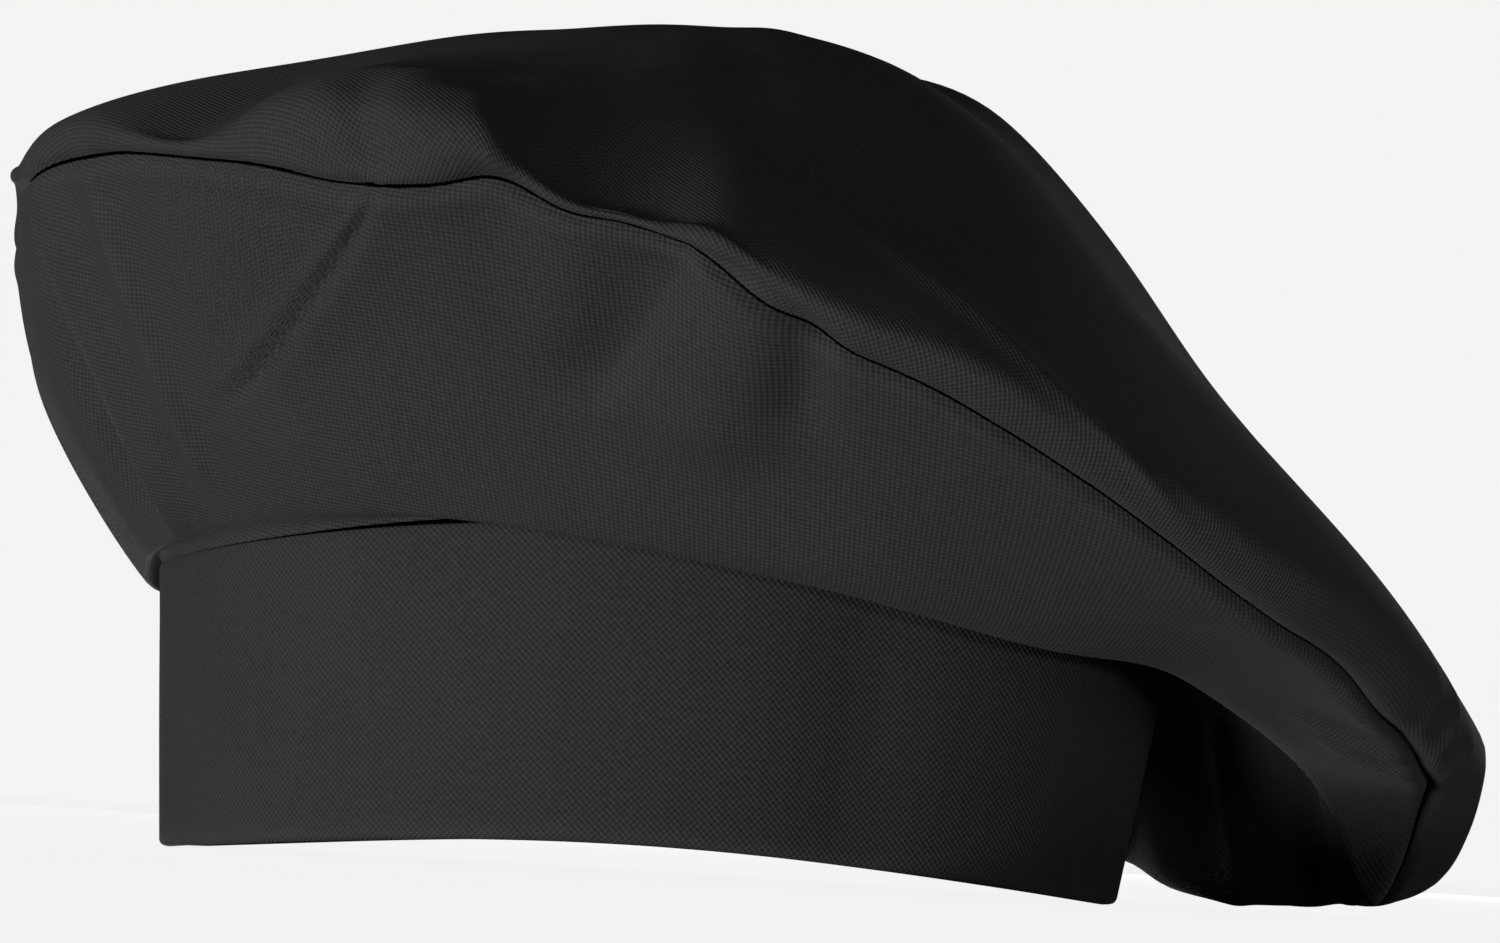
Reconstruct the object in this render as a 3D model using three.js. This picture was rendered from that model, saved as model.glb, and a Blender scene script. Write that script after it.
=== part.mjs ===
// Slouch chef's hat of black twill: a standing headband, a side panel and a top panel.
// Millimetres, +Z up. The front looks along -X and the crown droops towards +X, to the floor.
// Angles run round the hat: 0 is the front, 90 the wearer's near side, 180 the rear, 270 the far side.
import * as THREE from "three";

// Headband: an oval strip of doubled cloth that leans out a little towards its top.
const BAND_FOOT_HALF_LENGTH = 96;
const BAND_FOOT_HALF_WIDTH = 83;
const BAND_HEAD_HALF_LENGTH = 102.7;
const BAND_HEAD_HALF_WIDTH = 87.5;
const BAND_HEAD_SHIFT = 2.4;
const BAND_HEIGHT = 55.5;
const BAND_WALL = 2.4;
const BAND_FOOT_ARCH = 6;
const BAND_HEAD_ARCH = 7.5;
const BAND_FLAT_SHARE = 0.06;
const BAND_ROWS = 3;

// Crown: single cloth, sewn to the band's top edge and along the rim seam.
const CROWN_WALL = 1.6;
const SEAM_GAP = 0.35;
const LIP_INSET = 0.3;
const LIP_REACH = 0.8;
const LIP_RISE = 1.9;
const APEX = { x: 15, y: 0, z: 168 };
const APEX_FALL_TO_REAR = 0.04;
const BROW_SHARE = 0.3;
const CREST_SHARE = 0.65;

// Levels of a crown section, counted from the band's top edge to the middle of the top.
const LEVEL = { start: 0, lip: 1, sag: 2, belly: 3, rim: 4, shoulder: 5, brow: 6, crest: 7, apex: 8 };
const ROWS_BETWEEN_LEVELS = [2, 3, 4, 5, 3, 3, 3, 3];
const PANEL_ROWS = ROWS_BETWEEN_LEVELS.slice(0, LEVEL.rim).reduce((sum, rows) => sum + rows, 0);

// Meridians: closer together where the folds are.
const MERIDIAN_SPANS = [
  { from: 0, to: 130, count: 40 },
  { from: 130, to: 214, count: 20 },
  { from: 214, to: 360, count: 20 },
];

// One row for each section round the crown. "out" is the distance from the band's middle, "up" the height.
const SECTION_COLUMNS = [
  "deg", "sagOut", "sagUp", "bellyOut", "bellyUp", "rimOut", "rimUp", "puffOut", "puffUp", "browUp", "crestUp",
];
const SECTION_ROWS = [
  [0, 104.0, 51.5, 126, 89, 133, 128, -5, 9, 152, 164],
  [15, 103.0, 55.0, 123, 89, 134.5, 125, -3, 9, 151, 164],
  [35, 99.5, 60.5, 117, 88, 137, 123, -1, 8, 149, 164],
  [55, 95.0, 63.5, 113, 86, 135.5, 119, 0, 9, 148, 164],
  [72, 92.0, 62.5, 111, 84, 134, 114.5, 0, 9, 149, 165],
  [86, 92.0, 59.5, 111, 82, 133, 110, 1, 10, 149, 165],
  [99, 93.0, 56.0, 113, 76, 134, 95.5, 3, 12, 142, 165],
  [112, 96.5, 52.5, 116, 66, 137, 83, 4, 12, 132, 163],
  [130, 102.0, 46.5, 124, 54, 143, 62.4, 5, 13, 118, 160.5],
  [150, 108.5, 40.5, 133, 42, 150, 44.2, 7, 13, 109, 159],
  [165, 117.0, 34.0, 140, 30, 155, 28.5, 9, 12, 104, 159.5],
  [178, 121.0, 34.0, 142, 25, 157, 24, 10, 11, 101, 160],
  [188, 120.0, 33.0, 142, 12, 156, 5.5, 11, 10, 99, 159],
  [200, 117.0, 26.0, 138, 4.5, 154, 4, 11, 9, 99, 158],
  [215, 112.0, 29.0, 130, 7, 150, 8.5, 9, 10, 104, 158],
  [240, 105.0, 44.0, 125, 28, 143, 30, 7, 12, 121, 160],
  [270, 94.0, 57.0, 112, 56, 132, 64, 4, 12, 136, 163],
  [300, 94.0, 60.5, 112, 78, 130, 92, 1, 10, 142, 163],
  [330, 101.0, 55.5, 123, 87, 139, 110, -2, 9, 148, 163],
  [350, 105.0, 51.0, 130, 89, 139, 119, -6, 9, 151, 164],
];

// One row for each fold: a line over the crown from one angle and level to another.
// A roll is the same on both sides; a lap and a turned lap drop sharply past the line on one side.
const FOLD_COLUMNS = ["kind", "fromDeg", "fromLevel", "toDeg", "toLevel", "fromWidth", "toWidth", "height", "bow"];
const FOLD_ROWS = [
  ["turnedLap", 6, 1.7, 6, 4.6, 6, 8, 2.4, 0],
  ["roll", 31, 1.9, 28, 4.1, 5, 6, 1.2, 1],
  ["lap", 56, 2.9, 68, 4.3, 6, 9, 2.6, 3],
  ["roll", 84, 2.9, 91, 4.25, 9, 9, -3.2, 2],
  ["roll", 94, 2.6, 97, 4.4, 12, 12, 3, 0],
  ["roll", 108, 3, 103, 4.4, 7, 6, -2.4, 0],
  ["lap", 58, 4.05, 62, 5.9, 16, 20, 3.6, 0],
  ["roll", 84, 4.2, 84, 6.4, 13, 18, -4, 0],
  ["roll", 94, 4.05, 92, 5.6, 8, 9, 3, 0],
  ["roll", 128, 4.3, 113, 6.8, 7, 9, 2.2, 3],
  ["lap", 167, 1.7, 186, 4.3, 8, 10, 3.5, 0],
  ["roll", 187, 1.6, 203, 4.1, 6, 7, 1.6, 0],
  ["roll", 208, 1.8, 222, 4.2, 7, 9, -2.2, 0],
];
const FOLD_FADE = 0.28;
const LAP_SLOW_SIDE = 2.2;
const LAP_SHARP_SIDE = 0.6;

const rowsToRecords = (columns, rows) =>
  rows.map((row) => Object.fromEntries(columns.map((column, index) => [column, row[index]])));
const SECTIONS = rowsToRecords(SECTION_COLUMNS, SECTION_ROWS);
const FOLDS = rowsToRecords(FOLD_COLUMNS, FOLD_ROWS);

const radians = (deg) => (deg * Math.PI) / 180;
const clamp01 = (value) => Math.min(1, Math.max(0, value));
const smooth01 = (value) => value * value * (3 - 2 * value);
const turn = (deg) => ((deg % 360) + 360) % 360;
const sum = (numbers) => numbers.reduce((total, number) => total + number, 0);

// Weights of a cubic between two ends: their values, then their slopes for a step of this length.
function cubicWeights(share, step) {
  const square = share * share;
  const cube = square * share;
  return [
    2 * cube - 3 * square + 1,
    3 * square - 2 * cube,
    (cube - 2 * square + share) * step,
    (cube - square) * step,
  ];
}

function headingOf(deg) {
  return new THREE.Vector3(-Math.cos(radians(deg)), -Math.sin(radians(deg)), 0);
}

function pointAt(heading, out, up) {
  return new THREE.Vector3(heading.x * out, heading.y * out, up);
}

// A section column read smoothly at any angle round the hat.
function sectionValue(column, deg) {
  const count = SECTIONS.length;
  const at = (index) => {
    const lap = Math.floor(index / count);
    const section = SECTIONS[index - lap * count];
    return { deg: section.deg + 360 * lap, value: section[column] };
  };
  const angle = turn(deg);
  let low = count - 1;
  while (at(low).deg > angle) {
    low -= 1;
  }
  const [before, start, end, after] = [at(low - 1), at(low), at(low + 1), at(low + 2)];
  const step = end.deg - start.deg;
  const startSlope = (end.value - before.value) / (end.deg - before.deg);
  const endSlope = (after.value - start.value) / (after.deg - start.deg);
  const weights = cubicWeights((angle - start.deg) / step, step);
  return weights[0] * start.value + weights[1] * end.value + weights[2] * startSlope + weights[3] * endSlope;
}

// Point on the headband's outside at a share of its height.
function bandPoint(deg, share) {
  const heading = headingOf(deg);
  const halfLength = THREE.MathUtils.lerp(BAND_FOOT_HALF_LENGTH, BAND_HEAD_HALF_LENGTH, share);
  const halfWidth = THREE.MathUtils.lerp(BAND_FOOT_HALF_WIDTH, BAND_HEAD_HALF_WIDTH, share);
  const arch = THREE.MathUtils.lerp(BAND_FOOT_ARCH, BAND_HEAD_ARCH, share);
  const shift = BAND_HEAD_SHIFT * share;
  const a = (heading.x / halfLength) ** 2 + (heading.y / halfWidth) ** 2;
  const b = (-heading.x * shift) / halfLength ** 2;
  const c = (shift / halfLength) ** 2 - 1;
  const out = (-b + Math.sqrt(b * b - a * c)) / a;
  const sideways = clamp01((Math.sin(radians(deg)) ** 2 - BAND_FLAT_SHARE) / (1 - BAND_FLAT_SHARE));
  return pointAt(heading, out, BAND_HEIGHT * share + arch * sideways);
}

// Control points of the crown's outside at one angle, one for each level.
function crownControls(deg) {
  const heading = headingOf(deg);
  const value = (column) => sectionValue(column, deg);
  const edge = bandPoint(deg, 1);
  const edgeOut = Math.hypot(edge.x, edge.y);
  const rim = pointAt(heading, value("rimOut"), value("rimUp"));
  const apex = new THREE.Vector3(APEX.x, APEX.y, APEX.z);
  const inwards = (share, up) => rim.clone().lerp(apex, share).setZ(up);
  return [
    pointAt(heading, edgeOut - LIP_INSET, edge.z + SEAM_GAP),
    pointAt(heading, edgeOut + LIP_REACH, edge.z + LIP_RISE),
    pointAt(heading, value("sagOut"), value("sagUp")),
    pointAt(heading, value("bellyOut"), value("bellyUp")),
    rim,
    pointAt(heading, value("rimOut") + value("puffOut"), value("rimUp") + value("puffUp")),
    inwards(BROW_SHARE, value("browUp")),
    inwards(CREST_SHARE, value("crestUp")),
    apex,
  ];
}

// One smooth meridian through its control points, upright at the band and nearly level at the apex.
function crownMeridian(deg) {
  const controls = crownControls(deg);
  const last = controls.length - 1;
  const knots = [0];
  for (let index = 1; index <= last; index += 1) {
    knots.push(knots[index - 1] + Math.sqrt(controls[index].distanceTo(controls[index - 1])));
  }
  const slopes = controls.map((point, index) => {
    const before = Math.max(index - 1, 0);
    const after = Math.min(index + 1, last);
    return controls[after].clone().sub(controls[before]).divideScalar(knots[after] - knots[before]);
  });
  slopes[0] = new THREE.Vector3(0, 0, slopes[0].length());
  slopes[last].z = -APEX_FALL_TO_REAR * slopes[last].x;
  const points = [controls[0].clone()];
  for (let leg = 0; leg < last; leg += 1) {
    const step = knots[leg + 1] - knots[leg];
    for (let row = 1; row <= ROWS_BETWEEN_LEVELS[leg]; row += 1) {
      const weights = cubicWeights(row / ROWS_BETWEEN_LEVELS[leg], step);
      const point = controls[leg].clone().multiplyScalar(weights[0]);
      point.addScaledVector(controls[leg + 1], weights[1]);
      point.addScaledVector(slopes[leg], weights[2]);
      point.addScaledVector(slopes[leg + 1], weights[3]);
      points.push(point);
    }
  }
  return points;
}

// Outward directions of a closed grid of meridians; the apex shares one direction.
function gridNormals(grid) {
  const columns = grid.length;
  const rows = grid[0].length;
  const normals = grid.map((meridian, column) => {
    const left = grid[(column + columns - 1) % columns];
    const right = grid[(column + 1) % columns];
    return meridian.map((point, row) => {
      const across = right[row].clone().sub(left[row]);
      const along = meridian[Math.min(row + 1, rows - 1)].clone().sub(meridian[Math.max(row - 1, 0)]);
      return across.cross(along).normalize();
    });
  });
  const apexNormal = new THREE.Vector3();
  normals.forEach((meridian) => apexNormal.add(meridian[rows - 2]));
  apexNormal.normalize();
  normals.forEach((meridian) => meridian[rows - 1].copy(apexNormal));
  return normals;
}

// Height of one fold across its line: 1 on the line, falling to 0 at its sides.
function foldShape(kind, distance) {
  if (kind === "roll") {
    return Math.exp(-(distance ** 2));
  }
  const pastLine = kind === "lap" ? distance > 0 : distance < 0;
  const side = pastLine ? LAP_SHARP_SIDE : LAP_SLOW_SIDE;
  return Math.exp(-((distance / side) ** 2));
}

function foldHeight(fold, deg, level, out) {
  const share = clamp01((level - fold.fromLevel) / (fold.toLevel - fold.fromLevel));
  const middle = THREE.MathUtils.lerp(fold.fromDeg, fold.toDeg, share) + fold.bow * 4 * share * (1 - share);
  const width = THREE.MathUtils.lerp(fold.fromWidth, fold.toWidth, share);
  const distance = (radians(turn(deg - middle + 180) - 180) * out) / width;
  const fade = FOLD_FADE * (fold.toLevel - fold.fromLevel);
  const rising = clamp01((level - fold.fromLevel) / fade);
  const falling = clamp01((fold.toLevel - level) / fade);
  return fold.height * foldShape(fold.kind, distance) * smooth01(rising * falling);
}

function meridianAngles() {
  return MERIDIAN_SPANS.flatMap((span) =>
    Array.from({ length: span.count }, (_, index) =>
      THREE.MathUtils.lerp(span.from, span.to, index / span.count)));
}

function rowLevels() {
  return ROWS_BETWEEN_LEVELS.flatMap((rows, leg) =>
    Array.from({ length: rows }, (_, index) => leg + index / rows)).concat(LEVEL.apex);
}

// The crown's outside with its folds, and the directions its thickness is laid along.
function crownSurface(angles) {
  const levels = rowLevels();
  const plain = angles.map(crownMeridian);
  const directions = gridNormals(plain);
  const outside = plain.map((meridian, column) =>
    meridian.map((point, row) => {
      const out = Math.hypot(point.x, point.y);
      const heights = FOLDS.map((fold) => foldHeight(fold, angles[column], levels[row], out));
      return point.clone().addScaledVector(directions[column][row], sum(heights));
    }));
  return { outside, normals: gridNormals(outside) };
}

function offsetGrid(grid, normals, distance) {
  return grid.map((meridian, column) =>
    meridian.map((point, row) => point.clone().addScaledVector(normals[column][row], distance)));
}

// Rows of a grid from one to another, with an end row drawn back along the meridian by half the seam gap.
function cutGrid(grid, fromRow, toRow) {
  return grid.map((meridian) => {
    const piece = meridian.slice(fromRow, toRow + 1).map((point) => point.clone());
    const seamRow = fromRow > 0 ? 0 : piece.length - 1;
    const innerRow = fromRow > 0 ? 1 : piece.length - 2;
    const pull = piece[innerRow].clone().sub(piece[seamRow]).setLength(SEAM_GAP / 2);
    piece[seamRow].add(pull);
    return piece;
  });
}

// A closed shell between an outer and an inner grid of meridians.
function shellGeometry(outer, inner, hasApex) {
  const columns = outer.length;
  const ringRows = hasApex ? outer[0].length - 1 : outer[0].length;
  const positions = [];
  const faces = [];
  const addPoint = (point) => {
    positions.push(point.x, point.y, point.z);
    return positions.length / 3 - 1;
  };
  const addQuad = (a, b, c, d) => faces.push(a, b, c, a, c, d);
  const addRings = (grid) =>
    Array.from({ length: ringRows }, (_, row) => grid.map((meridian) => addPoint(meridian[row])));
  const outerRings = addRings(outer);
  const innerRings = addRings(inner);
  const lastRow = ringRows - 1;
  for (let column = 0; column < columns; column += 1) {
    const next = (column + 1) % columns;
    for (let row = 0; row < lastRow; row += 1) {
      const outerLow = outerRings[row];
      const outerHigh = outerRings[row + 1];
      addQuad(outerLow[column], outerLow[next], outerHigh[next], outerHigh[column]);
      const innerLow = innerRings[row];
      const innerHigh = innerRings[row + 1];
      addQuad(innerLow[next], innerLow[column], innerHigh[column], innerHigh[next]);
    }
    addQuad(innerRings[0][column], innerRings[0][next], outerRings[0][next], outerRings[0][column]);
    if (!hasApex) {
      const [outerEnd, innerEnd] = [outerRings[lastRow], innerRings[lastRow]];
      addQuad(outerEnd[column], outerEnd[next], innerEnd[next], innerEnd[column]);
    }
  }
  if (hasApex) {
    const outerApex = addPoint(outer[0][ringRows]);
    const innerApex = addPoint(inner[0][ringRows]);
    for (let column = 0; column < columns; column += 1) {
      const next = (column + 1) % columns;
      faces.push(outerRings[lastRow][column], outerRings[lastRow][next], outerApex);
      faces.push(innerRings[lastRow][next], innerRings[lastRow][column], innerApex);
    }
  }
  const geometry = new THREE.BufferGeometry();
  geometry.setAttribute("position", new THREE.Float32BufferAttribute(positions, 3));
  geometry.setIndex(faces);
  return geometry;
}

function bandGeometry(angles) {
  const shares = Array.from({ length: BAND_ROWS + 1 }, (_, row) => row / BAND_ROWS);
  const outer = angles.map((deg) => shares.map((share) => bandPoint(deg, share)));
  const inner = angles.map((deg, column) => {
    const heading = headingOf(deg);
    return outer[column].map((point) => point.clone().addScaledVector(heading, -BAND_WALL));
  });
  return shellGeometry(outer, inner, false);
}

function buildHat() {
  const angles = meridianAngles();
  const { outside, normals } = crownSurface(angles);
  const inside = offsetGrid(outside, normals, -CROWN_WALL);
  const lastRow = outside[0].length - 1;
  const pieces = {
    headband: bandGeometry(angles),
    crown_side: shellGeometry(cutGrid(outside, 0, PANEL_ROWS), cutGrid(inside, 0, PANEL_ROWS), false),
    crown_top: shellGeometry(cutGrid(outside, PANEL_ROWS, lastRow), cutGrid(inside, PANEL_ROWS, lastRow), true),
  };
  const box = new THREE.Box3();
  Object.values(pieces).forEach((geometry) => {
    box.union(new THREE.Box3().setFromBufferAttribute(geometry.getAttribute("position")));
  });
  const middle = box.getCenter(new THREE.Vector3());
  const hat = new THREE.Group();
  hat.name = "chef_hat";
  Object.entries(pieces).forEach(([name, geometry]) => {
    geometry.translate(-middle.x, -middle.y, -box.min.z);
    geometry.computeVertexNormals();
    const cloth = new THREE.MeshStandardMaterial({ color: 0x2b2929, roughness: 0.9, metalness: 0 });
    cloth.name = name === "headband" ? "band_twill" : "crown_twill";
    cloth.side = THREE.DoubleSide;
    const mesh = new THREE.Mesh(geometry, cloth);
    mesh.name = name;
    hat.add(mesh);
  });
  return hat;
}

export default buildHat();
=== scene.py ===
# %% [markdown]
# # A slouch chef's hat in black twill
# The hat is sewn from three pieces of cloth: an upright doubled headband, a flared side panel and a round
# top panel that slumps to the rear. It stands on its headband on a pale floor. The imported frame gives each
# piece's place. This lesson dresses each piece in a fine shell of cloth, with a woven finish and soft
# light.

# %% Load the frame
import math

import bpy
import numpy as np
from mathutils import Matrix, Vector, noise


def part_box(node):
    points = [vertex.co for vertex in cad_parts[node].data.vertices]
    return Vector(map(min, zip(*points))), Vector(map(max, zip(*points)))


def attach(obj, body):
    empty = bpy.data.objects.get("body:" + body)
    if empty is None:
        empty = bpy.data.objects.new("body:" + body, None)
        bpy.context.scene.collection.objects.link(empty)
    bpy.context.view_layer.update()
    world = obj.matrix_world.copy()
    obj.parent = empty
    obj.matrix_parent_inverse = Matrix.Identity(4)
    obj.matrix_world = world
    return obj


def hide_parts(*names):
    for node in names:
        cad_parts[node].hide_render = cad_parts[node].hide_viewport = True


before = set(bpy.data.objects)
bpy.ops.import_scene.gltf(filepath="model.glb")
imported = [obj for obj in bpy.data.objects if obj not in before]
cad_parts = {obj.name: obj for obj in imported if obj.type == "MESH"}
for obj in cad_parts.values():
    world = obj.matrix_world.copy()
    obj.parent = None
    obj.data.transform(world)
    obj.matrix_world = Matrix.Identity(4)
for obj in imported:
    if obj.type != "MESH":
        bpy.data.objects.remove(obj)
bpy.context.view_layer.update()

print("pieces in the frame:", sorted(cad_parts))

# %% [markdown]
# ## Where the hat stands
# A sewn hat is drafted round its wearer's head, so the shapes below are worked out in millimetres about
# the middle of the headband: -X is the front, +X the rear, -Y the near side and +Z up. The frame's origin
# lies under the middle of the whole hat instead. The shift between the two is read from the headband's own
# box, so that the cloth lands on the frame without fitting.

# %% Driving sizes of the headband
MM = 0.001
BAND_FOOT_HALF_LENGTH = 96.0
BAND_FOOT_HALF_WIDTH = 83.0
BAND_HEAD_HALF_LENGTH = 102.7
BAND_HEAD_HALF_WIDTH = 87.5
BAND_HEAD_SHIFT = 2.4
BAND_HEIGHT = 55.5

band_low, band_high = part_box("headband")
BAND_MIDDLE = np.array([
    (band_low.x + band_high.x) / 2 / MM - BAND_HEAD_SHIFT,
    (band_low.y + band_high.y) / 2 / MM,
    0.0,
])
print("band's middle in the frame, mm:", BAND_MIDDLE.round(2))

# %% [markdown]
# ## The band's oval
# The headband is an oval strip that leans out a little to its top edge. Its foot touches the floor at the
# front and the rear and arches up a few millimetres at the sides, as a stiff strip does when it is bent
# round. Two ellipses could be lofted, but a formula gives any point, and the crown needs such points too.

# %% Points on the headband
BAND_FOOT_ARCH = 6.0
BAND_HEAD_ARCH = 7.5
BAND_FLAT_SHARE = 0.06


def heading(deg):
    """Level direction at an angle round the hat: 0 is the front, 90 the near side."""
    return np.stack([-np.cos(np.radians(deg)), -np.sin(np.radians(deg)), np.zeros_like(deg)], -1)


def between(start, end, share):
    """The value at a share of the way from start to end."""
    return start + (end - start) * share


def band_points(deg, share):
    """Points on the headband's outside at a share of its height."""
    along = heading(deg)
    half_length = between(BAND_FOOT_HALF_LENGTH, BAND_HEAD_HALF_LENGTH, share)
    half_width = between(BAND_FOOT_HALF_WIDTH, BAND_HEAD_HALF_WIDTH, share)
    shift = BAND_HEAD_SHIFT * share
    # The ray from the middle meets the shifted ellipse where a * out * out + 2 * b * out + c is zero.
    a = (along[:, 0] / half_length) ** 2 + (along[:, 1] / half_width) ** 2
    b = -along[:, 0] * shift / half_length ** 2
    c = (shift / half_length) ** 2 - 1
    out = (-b + np.sqrt(b * b - a * c)) / a
    sideways = np.clip((np.sin(np.radians(deg)) ** 2 - BAND_FLAT_SHARE) / (1 - BAND_FLAT_SHARE), 0, 1)
    points = along * out[:, None]
    points[:, 2] = BAND_HEIGHT * share + between(BAND_FOOT_ARCH, BAND_HEAD_ARCH, share) * sideways
    return points


QUARTERS = np.array([0.0, 90.0, 180.0, 270.0])
print("band's foot at the four quarters, mm:", band_points(QUARTERS, 0.0).round(1).tolist())

# %% [markdown]
# ## The crown's sections
# The side panel and the top panel meet along one rim seam, so both are drawn from one family of curves.
# Each row of the table is a section of the hat at one angle: how far out and how high the cloth sags over
# the band, where it bellies, where the rim seam runs, how the top puffs past the seam and how high its
# brow and crest are. Reading the columns as smooth curves round the hat gives a meridian at any angle. A
# cloth simulation could find such a shape too, but it would not slump exactly as this hat did.

# %% Section table
SECTION_COLUMNS = [
    "deg", "sag_out", "sag_up", "belly_out", "belly_up", "rim_out", "rim_up",
    "puff_out", "puff_up", "brow_up", "crest_up",
]
SECTION_ROWS = np.array([
    [0, 104, 51.5, 126, 89, 133, 128, -5, 9, 152, 164],
    [15, 103, 55, 123, 89, 134.5, 125, -3, 9, 151, 164],
    [35, 99.5, 60.5, 117, 88, 137, 123, -1, 8, 149, 164],
    [55, 95, 63.5, 113, 86, 135.5, 119, 0, 9, 148, 164],
    [72, 92, 62.5, 111, 84, 134, 114.5, 0, 9, 149, 165],
    [86, 92, 59.5, 111, 82, 133, 110, 1, 10, 149, 165],
    [99, 93, 56, 113, 76, 134, 95.5, 3, 12, 142, 165],
    [112, 96.5, 52.5, 116, 66, 137, 83, 4, 12, 132, 163],
    [130, 102, 46.5, 124, 54, 143, 62.4, 5, 13, 118, 160.5],
    [150, 108.5, 40.5, 133, 42, 150, 44.2, 7, 13, 109, 159],
    [165, 117, 34, 140, 30, 155, 28.5, 9, 12, 104, 159.5],
    [178, 121, 34, 142, 25, 157, 24, 10, 11, 101, 160],
    [188, 120, 33, 142, 12, 156, 5.5, 11, 10, 99, 159],
    [200, 117, 26, 138, 4.5, 154, 4, 11, 9, 99, 158],
    [215, 112, 29, 130, 7, 150, 8.5, 9, 10, 104, 158],
    [240, 105, 44, 125, 28, 143, 30, 7, 12, 121, 160],
    [270, 94, 57, 112, 56, 132, 64, 4, 12, 136, 163],
    [300, 94, 60.5, 112, 78, 130, 92, 1, 10, 142, 163],
    [330, 101, 55.5, 123, 87, 139, 110, -2, 9, 148, 163],
    [350, 105, 51, 130, 89, 139, 119, -6, 9, 151, 164],
], float)
print("sections round the hat:", len(SECTION_ROWS))

# %% [markdown]
# ### Swells between the sections
# The sections give the crown its main form, and the cloth swells and dips between them. More sections
# would make the table hard to read. So each row of a second table adds one smooth bump to one column: at
# which angle, how many degrees wide and how many millimetres high. The columns lip_out and lip_gap belong
# to the seam at the band.

# %% Swell table
SWELL_COLUMNS = ["column", "deg", "wide", "add"]
SWELL_ROWS = [
    ["lip_out", 25, 32, -0.7],
    ["lip_gap", 70, 20, 0.65],
    ["sag_up", 34, 18, 3.2],
    ["sag_up", 4, 14, 4.5],
    ["sag_up", 150, 12, 4.5],
    ["sag_up", 172, 15, 9],
    ["sag_out", 356, 18, -0.5],
    ["sag_out", 354, 10, 2],
    ["belly_out", 358, 14, 2],
    ["belly_up", 148, 10, 2],
    ["belly_up", 198, 16, -1.2],
    ["rim_up", 198, 16, -1.2],
    ["rim_up", 153, 4.5, -2.6],
    ["puff_up", 153, 4.5, 2.2],
    ["rim_out", 4, 6, 1.4],
    ["rim_out", 12, 7, -2],
    ["rim_up", 3, 8, -12],
    ["rim_up", 25, 5, -2.2],
    ["rim_up", 44, 7, 0.9],
    ["rim_up", 66, 6, -1.9],
    ["rim_up", 77.5, 3, 2.2],
    ["rim_up", 83.5, 3.5, -1.8],
    ["rim_up", 94, 3.5, 2.4],
    ["rim_up", 104, 5, -1.3],
    ["rim_up", 138, 9, -2.4],
    ["puff_up", 22, 7, -3.5],
    ["puff_up", 37, 7, 1.5],
    ["puff_up", 51, 6.5, -4.5],
    ["puff_out", 51, 6.5, -3.5],
    ["brow_up", 47, 9, 1.0],
    ["puff_up", 66, 9, 8],
    ["puff_out", 66, 9, 1],
    ["puff_up", 87.5, 8.5, -6],
    ["puff_out", 86.5, 7.5, -6],
    ["crest_up", 94, 26, -0.9],
    ["puff_out", 182, 7, 2.2],
    ["brow_up", 91, 19, -8],
    ["brow_up", 113, 13, -3.5],
    ["puff_up", 102, 12, -3.5],
    ["puff_up", 121, 13, -3],
    ["puff_out", 162, 14, -1.5],
    ["brow_up", 160, 15, -4.2],
    ["crest_up", 160, 20, -4.5],
    ["crest_up", 194, 18, 3],
    ["brow_up", 203, 12, 4],
]
FULL_TURN = 360.0
HALF_TURN = 180.0


def turned_from(middle, deg):
    """Signed angle from one heading to others, from -180 to 180 degrees."""
    return np.mod(deg - middle + HALF_TURN, FULL_TURN) - HALF_TURN


def swells(column, deg):
    """The sum of a column's swells at each angle."""
    total = np.zeros_like(deg)
    for row in SWELL_ROWS:
        swell = dict(zip(SWELL_COLUMNS, row))
        if swell["column"] == column:
            total += swell["add"] * np.exp(-(turned_from(swell["deg"], deg) / swell["wide"]) ** 2)
    return total


print("swells between the sections:", len(SWELL_ROWS))

# %% [markdown]
# ### Reading a column round the hat
# Between two rows a column is read as a cubic whose slopes come from the rows on both sides. Straight
# lines would leave a kink at each row. The rows next to the front are repeated a full turn away, so the
# curve closes smoothly there.

# %% Read a column at any angle
def cubic_weights(share, step):
    """Weights of a cubic's two end values, then of its two end slopes."""
    square = share ** 2
    cube = share ** 3
    end_value = 3 * square - 2 * cube
    start_slope = (cube - 2 * square + share) * step
    return 2 * cube - 3 * square + 1, end_value, start_slope, (cube - square) * step


def column_round_the_hat(column, deg):
    """One column of the section table, read smoothly at any angle, with its swells."""
    at = SECTION_ROWS[:, 0]
    value = SECTION_ROWS[:, SECTION_COLUMNS.index(column)]
    at = np.concatenate([at[-2:] - FULL_TURN, at, at[:3] + FULL_TURN])
    value = np.concatenate([value[-2:], value, value[:3]])
    slope = np.zeros_like(value)
    slope[1:-1] = (value[2:] - value[:-2]) / (at[2:] - at[:-2])
    turned = np.mod(deg, FULL_TURN)
    low = np.searchsorted(at, turned, side="right") - 1
    step = at[low + 1] - at[low]
    weights = cubic_weights((turned - at[low]) / step, step)
    smooth = weights[0] * value[low] + weights[1] * value[low + 1]
    smooth += weights[2] * slope[low] + weights[3] * slope[low + 1]
    return smooth + swells(column, deg)


print("rim's height at the four quarters, mm:", column_round_the_hat("rim_up", QUARTERS).round(1))

# %% [markdown]
# ## One meridian
# The crown starts just inside the band's top edge and turns out over it in a small lip. From there a
# meridian sags, bellies out to the rim seam, puffs over it and runs in to the middle of the top. A cubic
# through these nine control points, with the knots spaced by the square root of the distance, keeps the
# cloth from overshooting where two points are close together.

# %% Smooth meridians
LIP_INSET = 0.4
LIP_GAP = 0.12
LIP_REACH = 0.8
LIP_RISE = 1.9
APEX = np.array([15.0, 0.0, 168.0])
APEX_FALL_TO_REAR = 0.04
BROW_SHARE = 0.3
CREST_SHARE = 0.65
NO_LENGTH = 1e-9


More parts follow.
